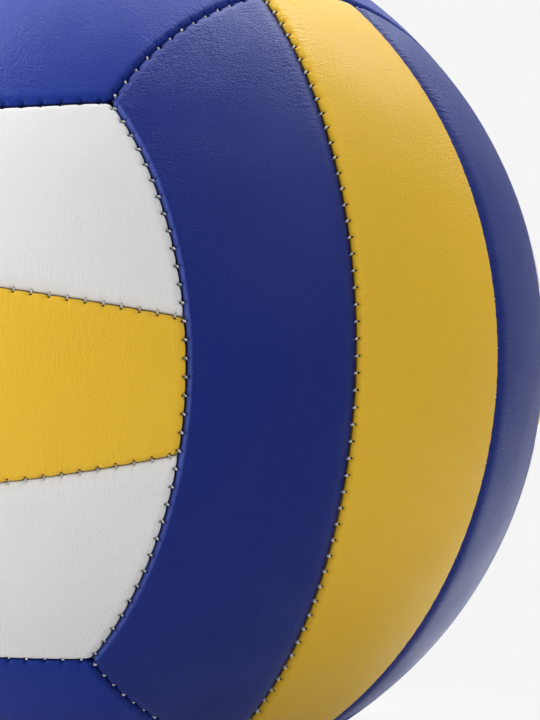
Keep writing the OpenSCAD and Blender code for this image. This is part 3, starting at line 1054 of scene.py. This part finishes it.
# painted light: the blue skins of the top and bottom faces get a lighter copy of the blue, standing in
# for more light on those faces
paintedLightFaces = ("top", "bottom")
paintedLightBlue = {"deep": (0.007, 0.0215, 0.205), "light": (0.0085, 0.026, 0.235), "coat": 0.06,
              "holeSize": 0.2, "edgeHighlight": 0.0}
for slot, look in skinLooks.items():
    material = makeSkinMaterial(slot.replace("_skin", "Skin"), {**plainLook, **look})
    for piece in skins[slot]:
        piece.data.materials.append(material)
paintedLightMaterial = makeSkinMaterial("brightBlueSkin", {**plainLook, **skinLooks["blue_skin"], **paintedLightBlue})
for piece in skins["blue_skin"]:
    if piece.name.startswith(paintedLightFaces):
        piece.data.materials[0] = paintedLightMaterial


# Twisted thread: strands wind round it, with loose fibres as fine noise
def makeThreadMaterial():
    material, tree, shader = newMaterial("sewingThread")
    fibres = noise(tree, ownCoords(tree), 5200, 3, 0.6)
    twist = plus(tree, times(tree, attribute(tree, "way"), 7.0), times(tree, fibres, 3.0))
    strand = spread(tree, calculate(tree, "SINE", twist), -1, 1, 0, 1)
    dress(tree, shader, plus(tree, times(tree, strand, 0.04), times(tree, fibres, 0.03)), {
        "Base Color": mixColours(tree, strand, (0.76, 0.76, 0.77), (0.94, 0.94, 0.94)),
        "Roughness": spread(tree, fibres, *noiseRange, 0.5, 0.75),
    })
    return material


def makeFoamMaterial():
    material, tree, shader = newMaterial("paddingFoam")
    coords = ownCoords(tree)
    bubbles = spread(tree, cells(tree, coords, 1500, "F1"), 0.1, 0.55, 0, 1)
    tone = noise(tree, coords, 120, 3)
    dress(tree, shader, times(tree, bubbles, 0.12), {
        "Base Color": mixColours(tree, times(tree, bubbles, tone), (0.5, 0.47, 0.38), (0.78, 0.75, 0.66)),
        "Roughness": spread(tree, tone, *noiseRange, 0.8, 0.95),
    })
    return material


# Moulded or sheet rubber: dusty, a little mottled, with a fine bloom
def makeRubberMaterial(name, dark, light, rough, scale):
    material, tree, shader = newMaterial(name)
    coords = ownCoords(tree)
    bloom = noise(tree, coords, scale, 4, 0.6)
    fine = noise(tree, coords, scale * 14, 3, 0.6)
    dress(tree, shader, plus(tree, times(tree, fine, 0.02), times(tree, bloom, 0.05)), {
        "Base Color": mixColours(tree, spread(tree, bloom, *noiseRange, 0, 1), dark, light),
        "Roughness": spread(tree, fine, *noiseRange, rough - 0.08, rough + 0.1),
    })
    return material


# Plain weave: two wave patterns across each other, over and under in turn
def makeClothMaterial():
    material, tree, shader = newMaterial("patchCloth")
    coords = ownCoords(tree)
    waves = []
    for direction in ("X", "Z"):
        wave = addNode(tree, "ShaderNodeTexWave", wave_type="BANDS", bands_direction=direction)
        feed(tree, wave.inputs, {"Vector": coords, "Scale": 480, "Distortion": 0.4})
        waves.append(wave.outputs["Fac"])
    weave = calculate(tree, "MAXIMUM", *waves)
    fibres = noise(tree, coords, 2600, 3, 0.6)
    dress(tree, shader, plus(tree, times(tree, weave, 0.12), times(tree, fibres, 0.04)), {
        "Base Color": mixColours(tree, weave, (0.36, 0.34, 0.3), (0.62, 0.6, 0.54)),
        "Roughness": spread(tree, fibres, *noiseRange, 0.75, 0.95),
    })
    return material


# dark and light colour, roughness and scale of each rubber
rubbers = {
    "valve": ((0.012, 0.012, 0.013), (0.024, 0.024, 0.025), 0.5, 300),
    "bladder": ((0.016, 0.015, 0.014), (0.032, 0.03, 0.028), 0.55, 60),
    "plug": ((0.16, 0.15, 0.14), (0.24, 0.22, 0.2), 0.6, 300),
}
rubber = {name: makeRubberMaterial(f"{name}Rubber", *look) for name, look in rubbers.items()}
for pieces, material in (
    (threads, makeThreadMaterial()),
    (pads, makeFoamMaterial()),
    ([valvePiece], rubber["valve"]),
    ([patchPiece], makeClothMaterial()),
):
    for piece in pieces:
        piece.data.materials.append(material)
for node, name in (("bladder", "bladder"), ("valve_plug", "plug")):
    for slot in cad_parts[node].material_slots:
        slot.material = rubber[name]
print("materials ready")

camera = {
    "place": (0.56705, -0.55872, 0.05561),
    "right": (0.73495, 0.67769, 0.02412),
    "back": (0.67492, -0.73447, 0.07093),
    "lens": 166.48,       # on a frame so many mm high
    "frame": 36,
}


# Puts an object at a place. It keeps the right direction given, and looks away from its back
# direction once that is made square to the right one.
def aim(holder, place, right, back):
    right = unit(np.array(right, float))
    back = np.array(back, float)
    back = unit(back - right * (back @ right))
    matrix = np.eye(4)
    matrix[:3] = np.stack([right, np.cross(back, right), back, np.array(place)], axis=1)
    holder.matrix_world = Matrix(matrix.tolist())


def makeCamera():
    data = bpy.data.cameras.new("photoCamera")
    data.sensor_fit = "VERTICAL"
    data.sensor_height = camera["frame"]
    data.lens = camera["lens"]
    data.clip_start = 0.01
    data.clip_end = 50
    scene.camera = newObject("photoCamera", data)
    aim(scene.camera, camera["place"], camera["right"], camera["back"])


makeCamera()

studio = {
    "world": 0.05,
    "background": 0.913,
    "frontShade": 0.05,   # what a reflection sees on the camera's side, and behind the ball
    "backShade": 0.45,
    "towardsBack": (-0.68, 0.73, 0.0),  # level, from the camera to the ball
    "floor": 0.59,
    "floorSize": 6.0,     # half of its side, in m
    # distances are from the ball's centre, in m: where the floor starts to turn into the
    # background and has done so, and how much nearer that is for a reflection
    "floorFades": (0.115, 0.21),
    "fadesSooner": 0.05,
    "floorShine": 2.0,    # what a reflection sees of the floor behind the ball, more than in front
    "farShine": 0.15,     # the same farther away
    "shineFades": (0.2, 0.55),
    "frontShine": 0.62,   # and on the photograph's side
    "behindStarts": (-0.02, 0.06),
    # place, size and watts of each lamp; every lamp looks at the ball
    "lamps": {
        "leftLamp": ((-0.88, -0.34, 0.97), 1.2, 27.0),
        "frontLamp": ((-0.11, -1.31, 0.32), 0.5, 5.2),
        "backLamp": ((-0.25, 0.77, 1.08), 1.0, 17.7),
        "rightLamp": ((1.04, -0.015, 0.865), 1.1, 7.4),
        "lowLamp": ((-0.5, -1.2, 0.12), 0.4, 3.1),
    },
}


def makeLamp(name, place, size, power):
    data = bpy.data.lights.new(name, "AREA")
    data.shape = "SQUARE"
    data.size = size
    data.energy = power
    back = unit(np.array(place))
    aim(newObject(name, data), place, np.cross((0.0, 0.0, 1.0), back), back)


for name, (place, size, power) in studio["lamps"].items():
    makeLamp(name, place, size, power)


# 1 for rays of the camera, of reflections and through glass, which see the pale studio as it is
# set here, and 0 for the rays that only bring light
def seenDirectly(tree):
    path = addNode(tree, "ShaderNodeLightPath").outputs
    seen = calculate(tree, "MAXIMUM", path["Is Camera Ray"], path["Is Glossy Ray"])
    return calculate(tree, "MAXIMUM", seen, path["Is Transmission Ray"])


def isStraight(tree):
    return addNode(tree, "ShaderNodeLightPath").outputs["Is Camera Ray"]


# How far a place lies behind the ball, away from the photograph's side
def towardsBack(tree, coords):
    return vectorMaths(tree, "DOT_PRODUCT", coords, studio["towardsBack"], output="Value")


def mixShaders(tree, factor, first, second):
    node = addNode(tree, "ShaderNodeMixShader")
    feed(tree, node.inputs, {0: factor, 1: first, 2: second})
    return node.outputs[0]


# A reflection sees the backdrop behind the ball, and a dim room on the photograph's side of it
def makeWorld():
    world = bpy.data.worlds.new("paleStudio")
    scene.world = world
    world.use_nodes = True
    tree = world.node_tree
    tree.nodes.clear()
    toBack = towardsBack(tree, addNode(tree, "ShaderNodeTexCoord").outputs["Generated"])
    room = spread(tree, toBack, -0.3, 0.3, studio["frontShade"], studio["backShade"])
    backdrop = times(tree, isStraight(tree), studio["background"])
    sides = []
    for strength in (studio["world"], calculate(tree, "MAXIMUM", room, backdrop)):
        side = addNode(tree, "ShaderNodeBackground")
        feed(tree, side.inputs, {"Color": (1, 1, 1), "Strength": strength})
        sides.append(side.outputs[0])
    mixed = mixShaders(tree, seenDirectly(tree), *sides)
    feed(tree, addNode(tree, "ShaderNodeOutputWorld").inputs, {"Surface": mixed})


def makeFloor():
    size = studio["floorSize"]
    mesh = bpy.data.meshes.new("studioFloor")
    corners = [(x * size, y * size, -radius / 1000) for x, y in ((-1, -1), (1, -1), (1, 1), (-1, 1))]
    mesh.from_pydata(corners, [], [(0, 1, 2, 3)])
    floor = newObject("studioFloor", mesh)
    material, tree, shader = newMaterial("paleFloor")
    feed(tree, shader.inputs, {"Base Color": (studio["floor"],) * 3, "Roughness": 0.9,
                               "Specular IOR Level": 0.1})
    # far from the ball the floor is seen as the pale background, so no horizon shows
    coords = ownCoords(tree)
    distance = vectorMaths(tree, "LENGTH", coords, output="Value")
    straight = isStraight(tree)
    sooner = spread(tree, straight, 0, 1, studio["fadesSooner"], 0)
    far = spread(tree, plus(tree, distance, sooner), *studio["floorFades"], 0, 1)
    behind = spread(tree, towardsBack(tree, coords), *studio["behindStarts"], 0, 1)
    shine = spread(tree, distance, *studio["shineFades"], studio["floorShine"], studio["farShine"])
    shine = plus(tree, times(tree, behind, shine), studio["frontShine"])
    own = plus(tree, times(tree, shine, calculate(tree, "SUBTRACT", 1.0, straight)),
               times(tree, straight, studio["background"]))
    seen = addNode(tree, "ShaderNodeEmission")
    feed(tree, seen.inputs, {"Strength": own})
    mixed = mixShaders(tree, times(tree, far, seenDirectly(tree)), shader.outputs[0], seen.outputs[0])
    feed(tree, tree.nodes["Material Output"].inputs, {"Surface": mixed})
    mesh.materials.append(material)


makeWorld()
makeFloor()
print("camera, lamps and floor ready")
